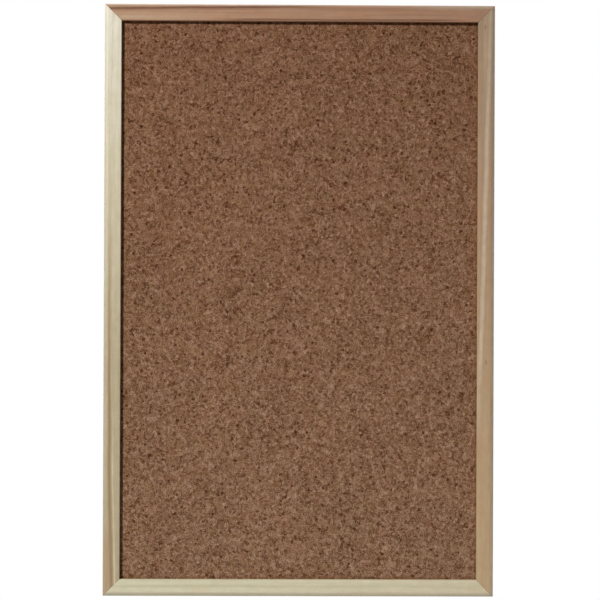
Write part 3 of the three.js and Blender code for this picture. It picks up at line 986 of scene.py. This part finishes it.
def d_ring(name, pivot, material):
    """Bent wire ring hanging from its bar, with the wire's two ends butted inside the knuckle."""
    loop = rounded([
        (RING_HALF, 0, RING_CORNER),
        (RING_HALF, -RING_LENGTH, RING_HALF),
        (-RING_HALF, -RING_LENGTH, RING_HALF),
        (-RING_HALF, 0, RING_CORNER),
    ], RING_BEND_STEPS)
    apart = np.linalg.norm(loop - np.roll(loop, 1, axis=0), axis=1)
    path = np.concatenate([[(BUTT_GAP / 2, 0)], loop[apart > SAME_PLACE], [(-BUTT_GAP / 2, 0)]])
    points = []
    for here, ahead in zip(path, np.gradient(path, axis=0)):
        side = np.array([ahead[1], -ahead[0]]) / np.linalg.norm(ahead)
        for angle in around(WIRE_SIDES):
            x, z = here + side * WIRE_RADIUS * math.cos(angle)
            points.append(pivot + Vector((x, WIRE_RADIUS * math.sin(angle), z)) * MM)
    return mesh_object(name, points, tube_faces(len(path), WIRE_SIDES), material, WIRE_SHARP_DEG)


def screw_rings():
    """Radius and height of the screw's rings from its tip to its crown, and the thread's height there."""
    rings = []
    for height in np.arange(-SCREW_LENGTH, THREAD_END, THREAD_STEP):
        above_tip = height + SCREW_LENGTH
        core = min(SCREW_CORE, SCREW_POINT + POINT_FLARE * above_tip)
        rings.append((core, height, THREAD_HEIGHT * min(1, above_tip / THREAD_RUN_IN)))
    rings += [(SCREW_CORE, NECK_START, 0), (SCREW_CORE, 0, 0)]
    rings += [(HEAD_RADIUS - HEAD_EASE, 0, 0), (HEAD_RADIUS, HEAD_EASE, 0)]
    for angle in np.radians(np.linspace(0, CROWN_END_DEG, CROWN_RINGS)):
        rings.append((HEAD_RADIUS * math.cos(angle), HEAD_RIM + HEAD_CROWN * math.sin(angle), 0))
    return rings


def pan_screw(name, seat, material):
    """Pan-head wood screw with a thread and a cross recess; seat is under the middle of its head."""
    rings = screw_rings()
    points = []
    for radius, height, thread in rings:
        for k in range(SCREW_SIDES):
            share = k / SCREW_SIDES
            phase = (height / THREAD_PITCH + share) % 1
            out = radius + thread * max(0, 1 - abs(phase - 0.5) / THREAD_HALF)
            angle = -2 * math.pi * share
            points.append(seat + Vector((out * math.cos(angle), height, out * math.sin(angle))) * MM)
    piece = mesh_object(name, points, tube_faces(len(rings), SCREW_SIDES), material, STEEL_SHARP_DEG)
    arm = [(RECESS_SPAN, RECESS_HALF), (RECESS_HALF, RECESS_HALF), (RECESS_HALF, RECESS_SPAN)]
    cross = [turned(quarters, *point) for quarters in (0, 3, 2, 1) for point in arm]
    ends = [
        (RECESS_FLOOR_SIZE, HEAD_TOP - RECESS_DEPTH),
        (RECESS_MOUTH_SIZE, HEAD_TOP + RECESS_OVERRUN),
    ]
    recess = []
    for size, height in ends:
        recess += [seat + Vector((x * size, height, -z * size)) * MM for x, z in cross]
    carve(piece, mesh_object("recess", recess, tube_faces(len(ends), len(cross)), material))
    return piece


def add_nails():
    steel = steel_material("nail_steel", NAIL_STEEL, NAIL_ROUGHNESS)
    corners = {
        "top_left": (BOARD_LEFT, BOARD_TOP),
        "top_right": (BOARD_RIGHT, BOARD_TOP),
        "bottom_right": (BOARD_RIGHT, BOARD_BOTTOM),
        "bottom_left": (BOARD_LEFT, BOARD_BOTTOM),
    }
    for quarters, (corner, place) in enumerate(corners.items()):
        for which, edge in NAIL_EDGES.items():
            node = "v_nail_" + corner + "_" + which
            piece = v_nail(node + "_strip", quarters, place, edge, steel)
            stand_in(piece, "board", node)


def add_hangers():
    zinc = steel_material("zinc_plate", ZINC, ZINC_ROUGHNESS)
    for ring_body, pivot in PIVOTS.items():
        side = ring_body.split("_")[0]
        seat = Vector((pivot.x, STRAP_SHEET * MM, pivot.z - SCREW_DROP * MM))
        pieces = {
            "_hanger_strap": (hanger_strap(side + "_strap", pivot, zinc), "board"),
            "_hanger_screw": (pan_screw(side + "_screw", seat, zinc), "board"),
            "_d_ring": (d_ring(side + "_wire_ring", pivot, zinc), ring_body),
        }
        for node, (piece, body) in pieces.items():
            stand_in(piece, body, side + node)


# Camera, fitted to the four outer corners of the board in the photograph
CAMERA_PLACE = (-15.87 * MM, -1712.1 * MM, -291.89 * MM)
CAMERA_TURN_DEG = (90.0371, -0.2308, -0.5668)
CAMERA_LENS_MM = 100.53
CAMERA_SENSOR_MM = 36

# Lamps, world and floor
KEY_PLACE = (-2.9, -4.5, 2.6)
KEY_AIM = (-0.05, 0.0, -1.16)  # below the board, so that its foot is the brighter end
KEY_RADIUS = 0.16
KEY_CONE_DEG = 34
KEY_BLEND = 1.0
KEY_POWER = 1630
BACK_TOWARDS = (-0.35, 1.0, 0.5)
BACK_SIZE = 2.6
BACK_POWER = 60
SIDE_TOWARDS = (1.0, 0.5, 0.8)  # behind the board, so that it misses the front
SIDE_SIZE = 2.2
SIDE_POWER = 52
SOFT_DISTANCE = 2.6
WHITE = (1, 1, 1, 1)
AMBIENT = 0.055  # of white, for the rays that light things
FLOOR_DROP = 0.1  # below the board's bottom edge
FLOOR_MIDDLE = (0.1, -0.42)  # forward, so that the floor ends short of what the photo camera sees
FLOOR_RADIUS = 1.0
FLOOR_SIDES = 96
FLOOR_FADE = 0.45  # share of the radius at which the floor starts to fade out
FLOOR_GLOW = 0.28  # what the floor shows of its own, so that it stays pale outside the lamps' light
FLOOR_COLOUR = srgb(188, 187, 185)
FLOOR_ROUGHNESS = 0.9


def add_camera():
    camera = bpy.data.cameras.new("photo_camera")
    camera.lens = CAMERA_LENS_MM
    camera.sensor_width = CAMERA_SENSOR_MM
    holder = bpy.data.objects.new("photo_camera", camera)
    holder.location = CAMERA_PLACE
    holder.rotation_euler = Euler([math.radians(angle) for angle in CAMERA_TURN_DEG])
    bpy.context.scene.collection.objects.link(holder)
    bpy.context.scene.camera = holder


def add_lamp(name, kind, place, target, power):
    lamp = bpy.data.lights.new(name, kind)
    lamp.energy = power
    holder = bpy.data.objects.new(name, lamp)
    holder.location = place
    holder.rotation_euler = (Vector(target) - holder.location).to_track_quat("-Z", "Y").to_euler()
    bpy.context.scene.collection.objects.link(holder)
    return lamp


def add_soft_lamp(name, towards, size, power):
    """A large lamp aimed at the middle of the board from the given side."""
    middle = Vector((0, 0, CENTRE_Z))
    place = middle + Vector(towards).normalized() * SOFT_DISTANCE
    add_lamp(name, "AREA", place, middle, power).size = size


def add_lights():
    key = add_lamp("key", "SPOT", KEY_PLACE, KEY_AIM, KEY_POWER)
    key.spot_size = math.radians(KEY_CONE_DEG)
    key.spot_blend = KEY_BLEND
    key.shadow_soft_size = KEY_RADIUS
    add_soft_lamp("back", BACK_TOWARDS, BACK_SIZE, BACK_POWER)
    add_soft_lamp("side", SIDE_TOWARDS, SIDE_SIZE, SIDE_POWER)


def seen_directly(tree):
    """1 for rays from the camera, a mirror or through glass, and 0 for the rays that light things."""
    path = tree.nodes.new("ShaderNodeLightPath")
    seen = path.outputs["Is Camera Ray"]
    for name in ("Is Glossy Ray", "Is Transmission Ray"):
        either = tree.nodes.new("ShaderNodeMath")
        either.operation = "MAXIMUM"
        tree.links.new(seen, either.inputs[0])
        tree.links.new(path.outputs[name], either.inputs[1])
        seen = either.outputs[0]
    return seen


def add_world():
    world = bpy.data.worlds.new("studio")
    bpy.context.scene.world = world
    world.use_nodes = True
    tree = world.node_tree
    level = tree.nodes.new("ShaderNodeMapRange")
    level.inputs["To Min"].default_value = AMBIENT
    level.inputs["To Max"].default_value = 1.0
    tree.links.new(seen_directly(tree), level.inputs["Value"])
    background = tree.nodes["Background"]
    background.inputs["Color"].default_value = WHITE
    tree.links.new(level.outputs[0], background.inputs["Strength"])


def add_floor():
    """A pale round floor that carries the board's shadow and fades out towards its rim."""
    points = [(FLOOR_RADIUS * math.cos(a), FLOOR_RADIUS * math.sin(a), 0) for a in around(FLOOR_SIDES)]
    shader = Shader("pale_floor")
    from_middle = shader.length(shader.place())
    shader.set_surface({
        "Base Color": FLOOR_COLOUR,
        "Roughness": FLOOR_ROUGHNESS,
        "Alpha": shader.step(from_middle, FLOOR_FADE * FLOOR_RADIUS, FLOOR_RADIUS, 1.0, 0.0),
        "Emission Color": WHITE,
        "Emission Strength": shader.math("MULTIPLY", seen_directly(shader.tree), FLOOR_GLOW),
    })
    floor = mesh_object("floor", points, [tuple(range(FLOOR_SIDES))], shader.material)
    floor.location = (*FLOOR_MIDDLE, BOARD_BOTTOM - FLOOR_DROP)


add_camera()
add_lights()
add_world()
add_floor()
add_cork()
add_rails()
add_back()
add_nails()
add_hangers()
bpy.context.scene.view_settings.view_transform = "Standard"
